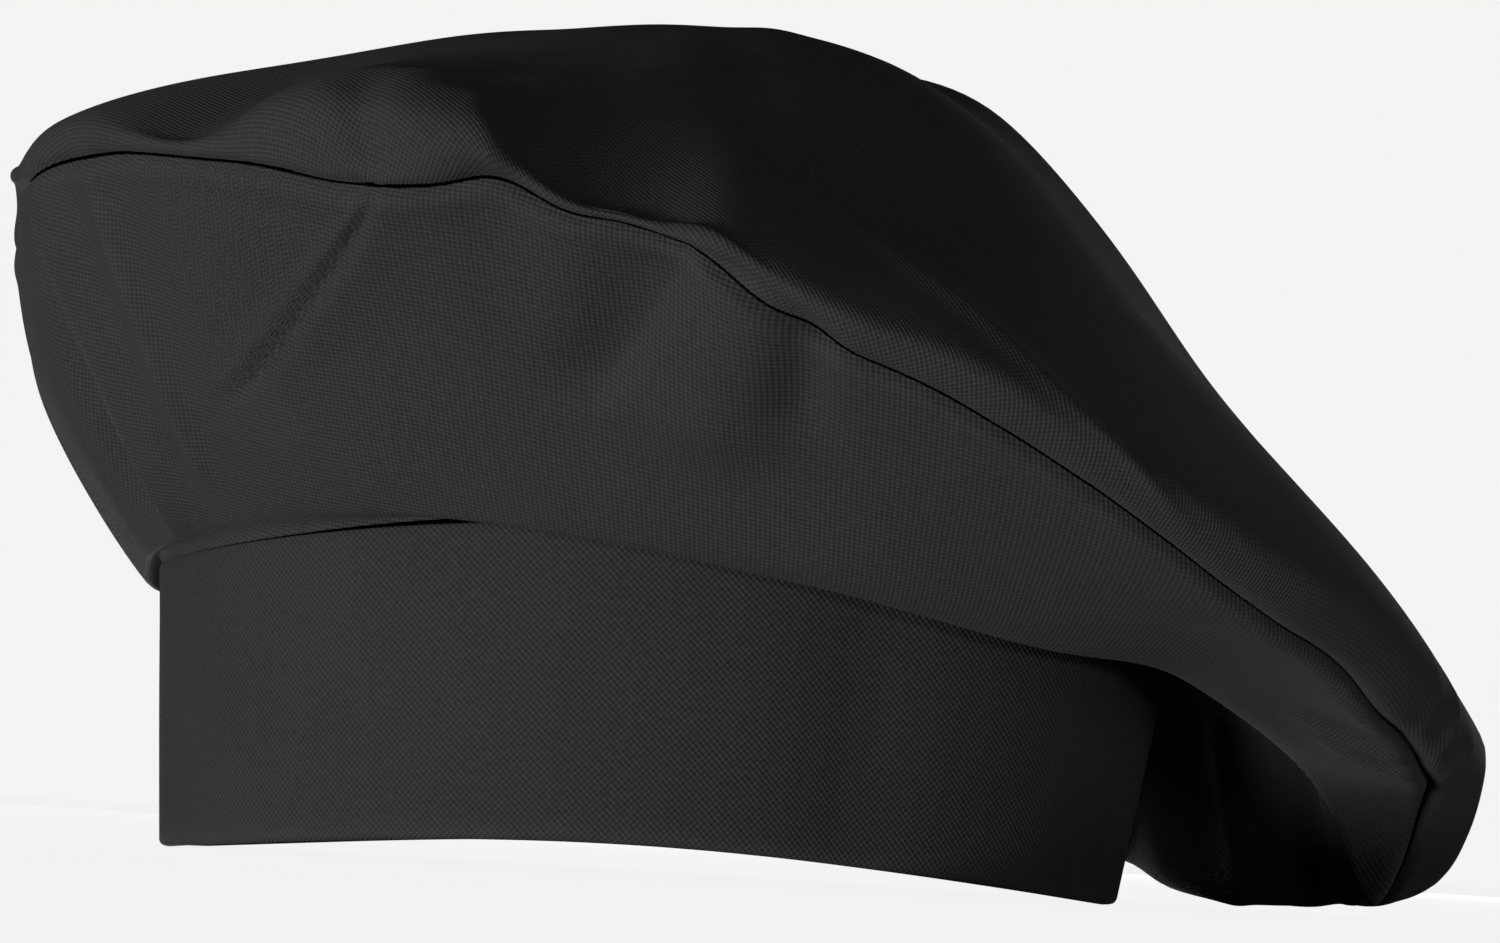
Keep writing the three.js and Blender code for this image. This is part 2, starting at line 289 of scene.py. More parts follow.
def crown_controls(deg):
    """Nine control points for each angle, from the band's top edge to the middle of the top."""
    along = heading(deg)
    col = {name: column_round_the_hat(name, deg) for name in SECTION_COLUMNS[1:]}
    edge = band_points(deg, 1.0)
    edge_out = np.linalg.norm(edge[:, :2], axis=1)

    def place(out, up):
        points = along * out[:, None]
        points[:, 2] = up
        return points

    rim = place(col["rim_out"], col["rim_up"])

    def inwards(share, up):
        points = rim + (APEX - rim) * share
        points[:, 2] = up
        return points

    return np.stack([
        place(edge_out - LIP_INSET, edge[:, 2] + LIP_GAP + swells("lip_gap", deg)),
        place(edge_out + LIP_REACH + swells("lip_out", deg), edge[:, 2] + LIP_RISE),
        place(col["sag_out"], col["sag_up"]),
        place(col["belly_out"], col["belly_up"]),
        rim,
        place(col["rim_out"] + col["puff_out"], col["rim_up"] + col["puff_up"]),
        inwards(BROW_SHARE, col["brow_up"]),
        inwards(CREST_SHARE, col["crest_up"]),
        np.broadcast_to(APEX, rim.shape),
    ], axis=1)


def crown_grid(deg, levels):
    """The crown's plain outside: a point for each angle and each level."""
    control = crown_controls(deg)
    knots = np.cumsum(np.sqrt(np.linalg.norm(np.diff(control, axis=1), axis=2)), axis=1)
    knots = np.concatenate([np.zeros((len(deg), 1)), knots], axis=1)
    slope = np.zeros_like(control)
    slope[:, 1:-1] = (control[:, 2:] - control[:, :-2]) / (knots[:, 2:] - knots[:, :-2])[..., None]
    slope[:, 0, 2] = np.linalg.norm(control[:, 1] - control[:, 0], axis=1) / knots[:, 1]
    slope[:, -1] = (control[:, -1] - control[:, -2]) / (knots[:, -1] - knots[:, -2])[:, None]
    slope[:, -1, 2] = -APEX_FALL_TO_REAR * slope[:, -1, 0]
    leg = np.minimum(levels.astype(int), control.shape[1] - 2)
    step = knots[:, leg + 1] - knots[:, leg]
    weights = cubic_weights((levels - leg)[None, :], step)
    ends = control[:, leg], control[:, leg + 1], slope[:, leg], slope[:, leg + 1]
    return sum(weight[..., None] * end for weight, end in zip(np.broadcast_arrays(*weights), ends))


def grid_normals(grid):
    """Outward directions of a closed grid of meridians."""
    across = np.roll(grid, -1, 0) - np.roll(grid, 1, 0)
    along = np.gradient(grid, axis=1)
    normal = np.cross(across, along)
    normal /= np.maximum(np.linalg.norm(normal, axis=-1, keepdims=True), NO_LENGTH)
    return normal


print("near meridian's points, mm:", crown_controls(QUARTERS)[1].round(1).tolist())

# %% [markdown]
# ## Folds
# Cloth that is wider than what it hangs from falls into folds. Each row of the fold table draws one: a
# line over the crown from one angle and level to another, its width at both ends, its height and how far
# the line bows. A level counts along the meridian's control points, so 4 is the rim seam, and a negative
# height makes a furrow. A roll is the same on both sides. A lap falls steeply on the side of the larger
# angle, where the cloth doubles over itself, and a turned lap on the other side. A crisp lap is steeper
# still. Sculpting by hand could draw them too, but rows in a table keep each fold where the photograph has
# it. The frame's solids carry only the largest of them.

# %% Fold table
FOLD_COLUMNS = [
    "kind", "from_deg", "from_level", "to_deg", "to_level", "from_width", "to_width", "height", "bow",
]
FOLD_ROWS = [
    ["turned_lap", 22.5, 1.7, 26.5, 4.3, 4, 5, 3.2, 4.5],
    ["roll", 15, 1.7, 18.5, 4.25, 9, 10, -6.5, 4],
    ["roll", 35, 1.9, 39, 4.2, 3.5, 4, 1.8, 1],
    ["roll", 41, 2.65, 69.8, 4.1, 2.3, 1.3, -3.1, 4.5],
    ["turned_lap", 44, 2.85, 71.5, 4.3, 6, 5, 1.6, 5],
    ["lap", 83, 2.85, 92, 4.12, 4.5, 4.5, -3.2, 2],
    ["roll", 94.5, 2.6, 97, 4.3, 11, 11, 3.4, 0],
    ["roll", 102.5, 3.1, 99.8, 4.5, 6, 4.5, -2.6, 0],
    ["lap", 78.5, 4.02, 73.5, 5.5, 7, 9, 3, 0.5],
    ["roll", 90.5, 4.04, 96, 4.8, 7, 7, 1.8, 0],
    ["roll", 69, 4.1, 67, 5.3, 4, 5, -1.6, 0],
    ["roll", 66, 5.1, 95, 6.6, 5, 5, 1.2, 0],
    ["roll", 130, 4.25, 103, 5.7, 4, 6, 1.4, 3],
    ["crisp_lap", 156, 2, 186, 4.3, 12, 8, 3.2, 11.5],
    ["roll", 164, 2, 193, 4.05, 7, 6, -2.6, 11.5],
    ["roll", 159, 4.08, 155, 5, 2, 2.6, 0.5, 0],
    ["roll", 163.5, 4.08, 159, 5.1, 2, 2.6, 0.6, 0],
    ["roll", 168, 4.08, 165, 4.9, 2, 2.6, 0.5, 0],
    ["crisp_lap", 162, 1.9, 200, 3.7, 8, 7, 1.6, 0],
    ["roll", 184, 1.6, 206, 3.5, 6, 6, 1.6, 0],
    ["roll", 157, 2.7, 162, 4.05, 2.4, 2.4, 1.2, 0],
    ["roll", 161, 2.75, 165.5, 4, 2.4, 2.4, 1.1, 0],
    ["roll", 208, 1.8, 222, 4.2, 7, 9, -2.2, 0],
]
print("large folds:", len(FOLD_ROWS))

# %% [markdown]
# ### Pressed creases
# At the front the cloth was once pressed flat. Such a crease is a fold of only a millimetre or two, and a
# painted highlight runs pale along it in the colour. It could be drawn in the colour alone, but then no
# light would catch it. The creases have a table of their own, because its rows also tell the finish where to
# paint that highlight.

# %% Crease table
CREASE_HEIGHT = 0.55
CREASE_ROWS = [
    ["roll", 22.3, 1.75, 26.3, 4.2, 0.9, 0.9, CREASE_HEIGHT, 4.5],
    ["roll", 35, 2.0, 39, 4.1, 1.3, 1.3, 0.2, 1],
]
print("pressed creases:", len(CREASE_ROWS))

# %% [markdown]
# ### Laying folds over the grid
# A fold lifts each point by its distance to the fold's line, measured across in millimetres. It fades in
# and out at its two ends, as folds in cloth do, so that it never starts with a step.

# %% Height of the folds
FOLD_FADE = 0.28
LAP_SLOW_SIDE = 2.2
LAP_SHARP_SIDE = 0.45
CRISP_LAP_SIDE = 0.16


def ease(value):
    """Goes smoothly from 0 to 1 and stays there."""
    held = np.clip(value, 0, 1)
    return held * held * (3 - 2 * held)


def fold_height(fold, deg, levels, out):
    """How far one fold lifts each point of the grid."""
    length = fold["to_level"] - fold["from_level"]
    share = np.clip((levels - fold["from_level"]) / length, 0, 1)
    bowed = fold["bow"] * 4 * share * (1 - share)
    middle = between(fold["from_deg"], fold["to_deg"], share) + bowed
    width = between(fold["from_width"], fold["to_width"], share)
    distance = np.radians(turned_from(middle[None, :], deg[:, None])) * out / width[None, :]
    if fold["kind"] == "roll":
        shape = np.exp(-distance ** 2)
    else:
        past_line = distance < 0 if fold["kind"] == "turned_lap" else distance > 0
        sharp = CRISP_LAP_SIDE if fold["kind"] == "crisp_lap" else LAP_SHARP_SIDE
        side = np.where(past_line, sharp, LAP_SLOW_SIDE)
        shape = np.exp(-(distance / side) ** 2)
    rising = np.clip((levels - fold["from_level"]) / (FOLD_FADE * length), 0, 1)
    falling = np.clip((fold["to_level"] - levels) / (FOLD_FADE * length), 0, 1)
    return fold["height"] * shape * ease(rising * falling)[None, :]


def all_folds(rows, deg, levels, out):
    """The sum of every fold in a table."""
    return sum(fold_height(dict(zip(FOLD_COLUMNS, row)), deg, levels, out) for row in rows)


print("a fold fades over", FOLD_FADE, "of its length at each end")

# %% [markdown]
# ## A fine grid
# The creases and the groove of the rim seam are only a millimetre or two wide, so the grid is fine where
# they are: more meridians on the near side and at the front, and rows that crowd together towards the
# seam. A plain subdivision would spend as many faces on the smooth far side.

# %% Angles and levels of the grid
SPAN_COLUMNS = ["from_deg", "to_deg", "meridians"]
SPAN_ROWS = [
    [0, 16, 24],
    [16, 44, 84],
    [44, 110, 150],
    [110, 150, 66],
    [150, 204, 130],
    [204, 360, 136],
]
LEG_COLUMNS = ["level", "rows", "crowd", "at_end"]
LEG_ROWS = [
    [0, 4, 1, False],
    [1, 10, 1, False],
    [2, 15, 1, False],
    [3, 25, 1.7, True],
    [4, 16, 1.6, False],
    [5, 26, 1, False],
    [6, 22, 1, False],
    [7, 18, 1, False],
]
RIM_LEVEL = 4
APEX_LEVEL = 8


def span_angles(span):
    """Evenly spaced angles over one span, without its last one."""
    return np.linspace(span["from_deg"], span["to_deg"], span["meridians"], endpoint=False)


def leg_levels(leg):
    """Levels from one whole level towards the next; a crowd above 1 packs them at one end."""
    share = np.arange(leg["rows"]) / leg["rows"]
    if leg["at_end"]:
        return leg["level"] + 1 - (1 - share) ** leg["crowd"]
    return leg["level"] + share ** leg["crowd"]


angles = np.concatenate([span_angles(dict(zip(SPAN_COLUMNS, row))) for row in SPAN_ROWS])
levels_of_legs = [leg_levels(dict(zip(LEG_COLUMNS, row))) for row in LEG_ROWS]
all_levels = np.concatenate(levels_of_legs + [[APEX_LEVEL]])
RIM_ROW = sum(len(levels) for levels in levels_of_legs[:RIM_LEVEL])
print("meridians:", len(angles), "rows:", len(all_levels), "row of the rim seam:", RIM_ROW)

# %% [markdown]
# ## The rim seam
# A seam pulls the two edges of cloth inwards and leaves a thin dark groove with a soft ridge on each side.
# Its stitches gather the cloth a little, so small puckers run away from it and die out after a centimetre.
# All are heights by each point's distance to the seam, so they are real shape and not only shading.

# %% Relief of the seam
GROOVE_DEPTH = 1.5
GROOVE_WIDTH = 1.1
RIDGE_HEIGHT = 0.5
RIDGE_AT = 3.2
RIDGE_WIDTH = 2.2
PUCKER_HEIGHT = 0.35
PUCKER_LENGTH = 11.0
PUCKER_REACH = 12.0
PUCKER_SEED = 3.0


def noise_at(points, length, seed):
    """Smooth random heights from -1 to 1, the same on every run."""
    flat = (points / length).reshape(-1, 3)
    values = [noise.noise(Vector((x, y, z + seed))) for x, y, z in flat.tolist()]
    return np.array(values).reshape(points.shape[:-1])


def seam_relief(from_seam, seam):
    """Groove, ridge and puckers at a distance from a seam through the given points."""
    groove = -GROOVE_DEPTH * np.exp(-(from_seam / GROOVE_WIDTH) ** 2)
    ridge = RIDGE_HEIGHT * np.exp(-((from_seam - RIDGE_AT) / RIDGE_WIDTH) ** 2)
    pucker = PUCKER_HEIGHT * noise_at(seam, PUCKER_LENGTH, PUCKER_SEED)[:, None]
    return groove + ridge + pucker * np.exp(-(from_seam / PUCKER_REACH) ** 2)


print("groove, mm deep and wide:", GROOVE_DEPTH, GROOVE_WIDTH)

# %% [markdown]
# ## The crown's cloth
# Now the plain crown gets its relief: folds, creases, the seam, and slow waves of a millimetre that soft
# cloth always has. The waves fade out at the band and at the middle of the top, where the cloth is held or
# the meridians meet. The inside follows at the thickness of the cloth.

# %% Crown surface with its folds
CLOTH_WALL = 1.2
WAVE_HEIGHT = 0.9
WAVE_LENGTH = 46.0
WAVE_SEED = 7.0
WAVE_FADE_LEVELS = 1.5


def length_along_rows(grid):
    """Arc length along each meridian from its first row."""
    step = np.linalg.norm(np.diff(grid, axis=1), axis=2)
    return np.concatenate([np.zeros((len(grid), 1)), np.cumsum(step, axis=1)], axis=1)


def relief_grid(levels, rim_row):
    """The crown's outside over the given levels, with folds, seam relief and small waves."""
    plain = crown_grid(angles, levels)
    out = np.linalg.norm(plain[..., :2], axis=-1)
    from_band = length_along_rows(plain)
    from_seam = np.abs(from_band - from_band[:, rim_row:rim_row + 1])
    lift = all_folds(FOLD_ROWS + CREASE_ROWS, angles, levels, out)
    lift = lift + seam_relief(from_seam, plain[:, rim_row])
    wave_fade = ease(levels / WAVE_FADE_LEVELS) * ease(APEX_LEVEL - levels)
    lift = lift + WAVE_HEIGHT * noise_at(plain, WAVE_LENGTH, WAVE_SEED) * wave_fade[None, :]
    lift[:, -1] = 0.0
    return plain + grid_normals(plain) * lift[..., None]


crown = relief_grid(all_levels, RIM_ROW)
crown_normals = grid_normals(crown)
apex_normal = crown_normals[:, -2].mean(axis=0)
crown_normals[:, -1] = apex_normal / np.linalg.norm(apex_normal)
crown_inside = crown - crown_normals * CLOTH_WALL
print("crown grid:", crown.shape, "lowest point, mm:", crown[..., 2].min().round(2))

# %% [markdown]
# ## Shells
# Cloth has two faces and an edge, so each piece is a closed shell. Blender's Solidify modifier could
# thicken a sheet, but made here, the inside stays even in tight folds and the points keep a known order.

# %% Points and faces of a shell
SEAM_GAP = 0.5


def cut_at_seam(grid, at_start):
    """Draws the seam's row back along the meridian by half the seam gap."""
    piece = grid.copy()
    seam_row, next_row = (0, 1) if at_start else (-1, -2)
    pull = piece[:, next_row] - piece[:, seam_row]
    piece[:, seam_row] += pull / np.linalg.norm(pull, axis=1, keepdims=True) * SEAM_GAP / 2
    return piece


def ring_columns(columns):
    """The columns of a closed ring, and for each of them the next one."""
    column = np.arange(columns)
    return column, (column + 1) % columns


def quads_between(low, high, column, after):
    """Quads between two rings of points, from the index of each ring's first point."""
    return np.stack([low + column, low + after, high + after, high + column], 1)


def shell_faces(columns, rows, has_apex):
    """Faces of a shell whose outer points come first, then the inner ones, row by row."""
    column, after = ring_columns(columns)
    rings = rows - 1 if has_apex else rows
    count = rings * columns + (1 if has_apex else 0)
    quads = []
    for row in range(rings - 1):
        low, high = row * columns, (row + 1) * columns
        quads.append(quads_between(low, high, column, after))
        quads.append(quads_between(count + low, count + high, after, column))
    quads.append(quads_between(count, 0, column, after))
    last = (rings - 1) * columns
    if not has_apex:
        quads.append(quads_between(last, count + last, column, after))
        return np.concatenate(quads).tolist()
    pairs = list(zip(column.tolist(), after.tolist()))
    outer_fan = [[last + here, last + there, count - 1] for here, there in pairs]
    inner_fan = [[count + last + there, count + last + here, 2 * count - 1] for here, there in pairs]
    return np.concatenate(quads).tolist() + outer_fan + inner_fan


def shell_points(outer, inner, has_apex):
    """Points in the order that shell_faces expects."""
    rings = outer.shape[1] - 1 if has_apex else outer.shape[1]

    def ordered(grid):
        points = grid[:, :rings].transpose(1, 0, 2).reshape(-1, grid.shape[-1])
        return np.concatenate([points, grid[:1, -1]]) if has_apex else points

    return np.concatenate([ordered(outer), ordered(inner)])


print("gap at the seam, mm:", SEAM_GAP)

# %% [markdown]
# ### The cloth map
# Each mesh carries a map named cloth: for each corner, where that spot was on the flat cut piece, in metres.
# The weave is drawn on this map, so that the threads follow the cloth. Unwrapping in the editor would lose
# the true scale. The map stays whole where a strip's two ends meet, and a bowed strip is bent round its own
# middle. An attribute named edge says how near a spot is to a folded or sewn edge; on the side panel it also
# holds a painted highlight along the pressed creases.

# %% Mesh with its cloth map
def new_object(name, data):
    """An object linked to the scene."""
    made = bpy.data.objects.new(name, data)
    bpy.context.scene.collection.objects.link(made)
    return made


def spots_on_the_cut(mesh, flat, strip_round, bow_radius):
    """For each corner of the mesh, its spot on the flat cut piece in millimetres."""
    corner = np.zeros(len(mesh.loops), int)
    mesh.loops.foreach_get("vertex_index", corner)
    spot = flat[corner]
    if strip_round is not None:
        start = np.zeros(len(mesh.polygons), int)
        mesh.polygons.foreach_get("loop_start", start)
        total = np.zeros(len(mesh.polygons), int)
        mesh.polygons.foreach_get("loop_total", total)
        first = np.repeat(spot[start, 0], total)
        spot[:, 0] -= strip_round * np.round((spot[:, 0] - first) / strip_round)
    if bow_radius is not None:
        radius = bow_radius + spot[:, 1]
        turn = spot[:, 0] / bow_radius
        spot = np.stack([radius * np.cos(turn), radius * np.sin(turn)], 1)
    return spot


def cloth_object(name, points, faces, flat, edge, strip_round=None, bow_radius=None):
    """A mesh object with its cloth map and its edge attribute, placed in the frame."""
    mesh = bpy.data.meshes.new(name)
    mesh.from_pydata(((points + BAND_MIDDLE) * MM).tolist(), [], faces)
    mesh.polygons.foreach_set("use_smooth", np.ones(len(mesh.polygons), bool))
    spot = spots_on_the_cut(mesh, flat, strip_round, bow_radius)
    mesh.uv_layers.new(name="cloth").data.foreach_set("uv", (spot * MM).astype(np.float32).ravel())
    # On the side panel the edge values also hold a painted highlight along the pressed creases.
    mesh.attributes.new("edge", "FLOAT", "POINT").data.foreach_set("value", edge.astype(np.float32))
    print(name, "faces:", len(mesh.polygons))
    return new_object(name, mesh)


def shell_object(name, outer, inner, flat, edge, has_apex, **cut):
    """A closed shell of two grids, with the same map and edge values on both."""
    points = shell_points(outer, inner, has_apex)
    faces = shell_faces(len(angles), outer.shape[1], has_apex)
    flat = shell_points(flat, flat, has_apex)
    edge = shell_points(edge[..., None], edge[..., None], has_apex).ravel()
    return cloth_object(name, points, faces, flat, edge, **cut)


print("the cloth map counts in metres on the flat cut")

# %% [markdown]
# ## The headband
# The headband is one strip folded in half, with the fold at its foot and the raw edges sewn into the crown
# at its top. So its cross-section is a long loop: round the soft fold, up the outside, over the rounded
# top and down the inside. A strip this wide never stands perfectly even, so slow waves and a few shallow
# dents run over it.

# %% Section, waves and dents of the headband
BAND_WALL = 2.4
BAND_ROWS = 26
BAND_ROUND_ROWS = 7
BAND_BRIM_ROUND = 0.5
BAND_WAVE_HEIGHT = 0.7
BAND_WAVE_LENGTH = 58.0
BAND_WAVE_SEED = 21.0
BAND_WAVE_FADE = 0.25
DENT_COLUMNS = ["deg", "share", "wide", "tall", "height"]
DENT_ROWS = [
    [118, 0.55, 7, 0.9, -1.4],
    [70, 0.35, 16, 0.6, 0.8],
    [142, 0.6, 10, 0.7, 0.7],
    [40, 0.75, 14, 0.5, -0.6],
]


def band_section():
    """Cross-section of the folded strip: share of the height, and depth into the wall."""
    radius = BAND_WALL / 2
    rise = np.linspace(0, 1, BAND_ROWS)
    turn = np.linspace(0, math.pi, BAND_ROUND_ROWS)[1:-1]
    margin = radius / BAND_HEIGHT
    brim = BAND_BRIM_ROUND / BAND_HEIGHT
    wall = margin + rise * (1 - margin - brim)
    outside = np.stack([wall, np.zeros(BAND_ROWS)], 1)
    over = np.stack([1 - brim + brim * np.sin(turn), radius - radius * np.cos(turn)], 1)
    inside = np.stack([wall[::-1], np.full(BAND_ROWS, BAND_WALL)], 1)
    under = np.stack([margin - margin * np.sin(turn), radius + radius * np.cos(turn)], 1)
    return np.concatenate([under, outside, over, inside])


def band_waves(deg, share, points):
    """Slow waves and shallow dents over the strip, fading out at its sewn top edge."""
    lift = BAND_WAVE_HEIGHT * noise_at(points, BAND_WAVE_LENGTH, BAND_WAVE_SEED)
    for row in DENT_ROWS:
        dent = dict(zip(DENT_COLUMNS, row))
        across = (deg - dent["deg"]) / dent["wide"]
        upright = (share - dent["share"]) / dent["tall"]
        lift = lift + dent["height"] * np.exp(-across ** 2 - upright ** 2)
    return lift * ease((1 - share) / BAND_WAVE_FADE)


section = band_section()
print("points round the band's section:", len(section))

# %% [markdown]
# ### Sweeping the band's section round the oval
# The section is swept round the oval, and its last row joins its first. Its cloth map is a straight strip,
# as long as the band's foot and as wide as the section is round. The map breaks between the last row and
# the first, so that break lies inside the hat.

# %% Build the headband
EDGE_REACH = 2.5


def length_round(ring):
    """Length round a closed ring up to each of its points, with the closing step first."""
    return np.cumsum(np.linalg.norm(ring - np.roll(ring, 1, 0), axis=1))


band_grid = np.zeros((len(angles), len(section), 3))
for index, (share, depth) in enumerate(section):
    ring = band_points(angles, share)
    wave = band_waves(angles, share, ring)
    band_grid[:, index] = ring + heading(angles) * (wave - depth)[:, None]
columns, rows = band_grid.shape[:2]
column, after = ring_columns(columns)
ring_starts = np.arange(rows) * columns
band_faces = [
    quads_between(low, high, column, after)
    for low, high in zip(ring_starts, np.roll(ring_starts, -1))
]
foot_length = length_round(band_points(angles, 0.0))
section_step = np.diff(band_grid[0], axis=0, prepend=band_grid[0][:1])
section_length = np.cumsum(np.linalg.norm(section_step, axis=1))
band_flat = np.stack(np.broadcast_arrays(foot_length[None, :], section_length[:, None]), -1).reshape(-1, 2)
to_foot = section[:, 0] * BAND_HEIGHT
band_edge = np.repeat(np.exp(-(to_foot / EDGE_REACH) ** 2), columns)
headband = cloth_object(
    "hat_headband", band_grid.transpose(1, 0, 2).reshape(-1, 3), np.concatenate(band_faces).tolist(),
    band_flat, band_edge, strip_round=foot_length[-1])

# %% [markdown]
# ## The side panel
# The side panel is cut as a bowed strip, longer along the rim than along the band. Its cloth map is that
# flat bowed strip, so the twill slowly turns as it goes round the hat, as it does on the real one. The cloth
# is rubbed along the rim seam, and a painted highlight runs along the pressed creases.

# %% Build the side panel
PANEL_INNER_RADIUS = 171.0
CREASE_HIGHLIGHT = 1.2
MOST_WEAR_AND_HIGHLIGHT = 1.5
panel_outer = cut_at_seam(crown[:, :RIM_ROW + 1], at_start=False)
panel_inner = cut_at_seam(crown_inside[:, :RIM_ROW + 1], at_start=False)
top_edge_length = length_round(band_points(angles, 1.0))
panel_rise = length_along_rows(panel_outer)
panel_flat = np.stack(np.broadcast_arrays(top_edge_length[:, None], panel_rise), -1)
to_seam = panel_rise[:, -1:] - panel_rise
crease_out = np.linalg.norm(panel_outer[..., :2], axis=-1)
# The pressed creases add a painted highlight to the rubbed seam edge.
crease_highlight_mask = all_folds(CREASE_ROWS, angles, all_levels[:RIM_ROW + 1], crease_out) / CREASE_HEIGHT
panel_wear_and_highlight = np.exp(-(to_seam / EDGE_REACH) ** 2) + CREASE_HIGHLIGHT * crease_highlight_mask
crown_side = shell_object(
    "hat_crown_side", panel_outer, panel_inner, panel_flat, np.minimum(panel_wear_and_highlight, MOST_WEAR_AND_HIGHLIGHT),
    has_apex=False, strip_round=top_edge_length[-1], bow_radius=PANEL_INNER_RADIUS)

# %% [markdown]
# ## The top panel
# The top panel is a disc of cloth. Its map is measured from the middle outwards along the surface, so its
# twill runs straight across the whole top. A map seen from above would stretch the weave on the slopes.
# Like the side panel, the cloth is rubbed along the rim seam.

# %% Build the top panel
top_outer = cut_at_seam(crown[:, RIM_ROW:], at_start=True)
top_inner = cut_at_seam(crown_inside[:, RIM_ROW:], at_start=True)
from_rim = length_along_rows(top_outer)
from_apex = from_rim[:, -1:] - from_rim
disc = heading(angles)[:, None, :2] * from_apex[..., None]
top_rubbed = np.exp(-(from_rim / EDGE_REACH) ** 2)
crown_top = shell_object("hat_crown_top", top_outer, top_inner, disc, top_rubbed, has_apex=True)

# %% [markdown]
# ## Node groups
# Effects that every cloth of the hat shares are node groups: the twill weave, and the lint and fading that a
# worn black cloth picks up, with a painted highlight along the pressed creases. They only give heights,
# masks and colours. The shader itself stays in each material.

# %% Small helpers for node groups
def new_group(name, inputs, outputs):
    """A group that takes the cloth map and some numbers, and gives numbers."""
    group = bpy.data.node_groups.new(name, "ShaderNodeTree")
    group.interface.new_socket("Cloth", in_out="INPUT", socket_type="NodeSocketVector")
    for label, value in inputs.items():
        socket = group.interface.new_socket(label, in_out="INPUT", socket_type="NodeSocketFloat")
        socket.default_value = value
    for label in outputs:
        group.interface.new_socket(label, in_out="OUTPUT", socket_type="NodeSocketFloat")
    return group, group.nodes.new("NodeGroupInput"), group.nodes.new("NodeGroupOutput")


def set_inputs(tree, node, inputs):
    """Sets a node's inputs: each one is a plain value or another node's output."""
    for key, value in inputs.items():
        if isinstance(value, bpy.types.NodeSocket):
            tree.links.new(value, node.inputs[key])
        else:
            node.inputs[key].default_value = value
    return node


def new_node(tree, kind, inputs):
    """A node of a kind with its inputs set."""
    return set_inputs(tree, tree.nodes.new(kind), inputs)


def math_node(tree, operation, *values, clamp=False):
    """A Math node of numbers or other nodes' outputs; gives its output."""
    node = new_node(tree, "ShaderNodeMath", dict(enumerate(values)))
    node.operation = operation
    node.use_clamp = clamp
    return node.outputs[0]


def noise_on_cloth(tree, cloth, per_metre, detail):
    """A smooth noise on the cloth map; gives its strength."""
    inputs = {"Vector": cloth, "Scale": per_metre, "Detail": detail}
    return new_node(tree, "ShaderNodeTexNoise", inputs).outputs["Fac"]


print("helpers for node groups are ready")

# %% [markdown]
# ### Twill weave
# In twill each thread passes over two others, one step further on in every row, which draws fine diagonal
# wales. The group builds them from two waves on the cloth map: one across the wales, and one along them
# that breaks each wale into short floats, so that the cloth shows a lattice of small diamonds. A
# photograph of cloth could be laid on instead, but waves never blur or repeat. A slow noise bends the
# lines a little, and a fine one makes the yarn uneven. The group gives the height of the weave and how
# light each thread is.

# %% Build the twill weave
WEAVE_STEP = 0.85
MM_IN_A_METRE = 1000.0
BEND_PER_METRE = 45.0
BEND_MM = 0.8
WALE_SHARE = 0.55
FLOAT_SHARE = 0.45
SLUB_PER_METRE = 900.0
SLUB_SHARE = 0.4
THREAD_SHARE = 0.6


def twill_group():
    """Height and lightness of the twill on a cloth map in metres; its steps are in millimetres."""
    steps = {"Wale": WEAVE_STEP, "Float": WEAVE_STEP}
    group, given, result = new_group("twill_weave", steps, ["Height", "Thread"])
    cloth = given.outputs["Cloth"]

    def wave(along, step):
        turns = math_node(group, "DIVIDE", along, step)
        swing = math_node(group, "SINE", math_node(group, "MULTIPLY", turns, 2 * math.pi))
        return math_node(group, "MULTIPLY_ADD", swing, 0.5, 0.5)

    split = new_node(group, "ShaderNodeSeparateXYZ", {0: cloth})
    across = math_node(group, "MULTIPLY", split.outputs[0], MM_IN_A_METRE)
    upward = math_node(group, "MULTIPLY", split.outputs[1], MM_IN_A_METRE)
    bend = noise_on_cloth(group, cloth, BEND_PER_METRE, detail=2.0)
    bent = math_node(group, "MULTIPLY_ADD", bend, BEND_MM, across)
    rising = math_node(group, "MULTIPLY", math_node(group, "ADD", bent, upward), math.sqrt(0.5))
    falling = math_node(group, "MULTIPLY", math_node(group, "SUBTRACT", bent, upward), math.sqrt(0.5))
    wale = wave(rising, given.outputs["Wale"])
    float_height = math_node(group, "MULTIPLY", wave(falling, given.outputs["Float"]), FLOAT_SHARE)
    height = math_node(group, "MULTIPLY_ADD", wale, WALE_SHARE, float_height)
    slub = noise_on_cloth(group, cloth, SLUB_PER_METRE, detail=1.0)
    uneven = math_node(group, "MULTIPLY", slub, SLUB_SHARE)
    thread = math_node(group, "MULTIPLY_ADD", height, THREAD_SHARE, uneven)
    set_inputs(group, result, {"Height": height, "Thread": thread})
    return group


TWILL = twill_group()
print("group made:", TWILL.name)

# %% [markdown]
# ### Lint, fading and a painted highlight
# Black cotton never stays quite black: the dye fades in slow clouds, folded and sewn edges rub lighter, and
# a few specks of lint catch the light. The same lightening also paints a highlight along the pressed
# creases. These could be painted by hand, but a noise on the cloth map covers every piece at once. The group
# gives a mask for each.

# %% Build the lint and fading
CLOUD_PER_METRE = 28.0
CLOUD_SHARE = 0.6
RUB_AND_HIGHLIGHT_PER_METRE = 160.0
LINT_PER_METRE = 90.0
LINT_RADIUS = 0.024
LINT_STRENGTH = 0.3


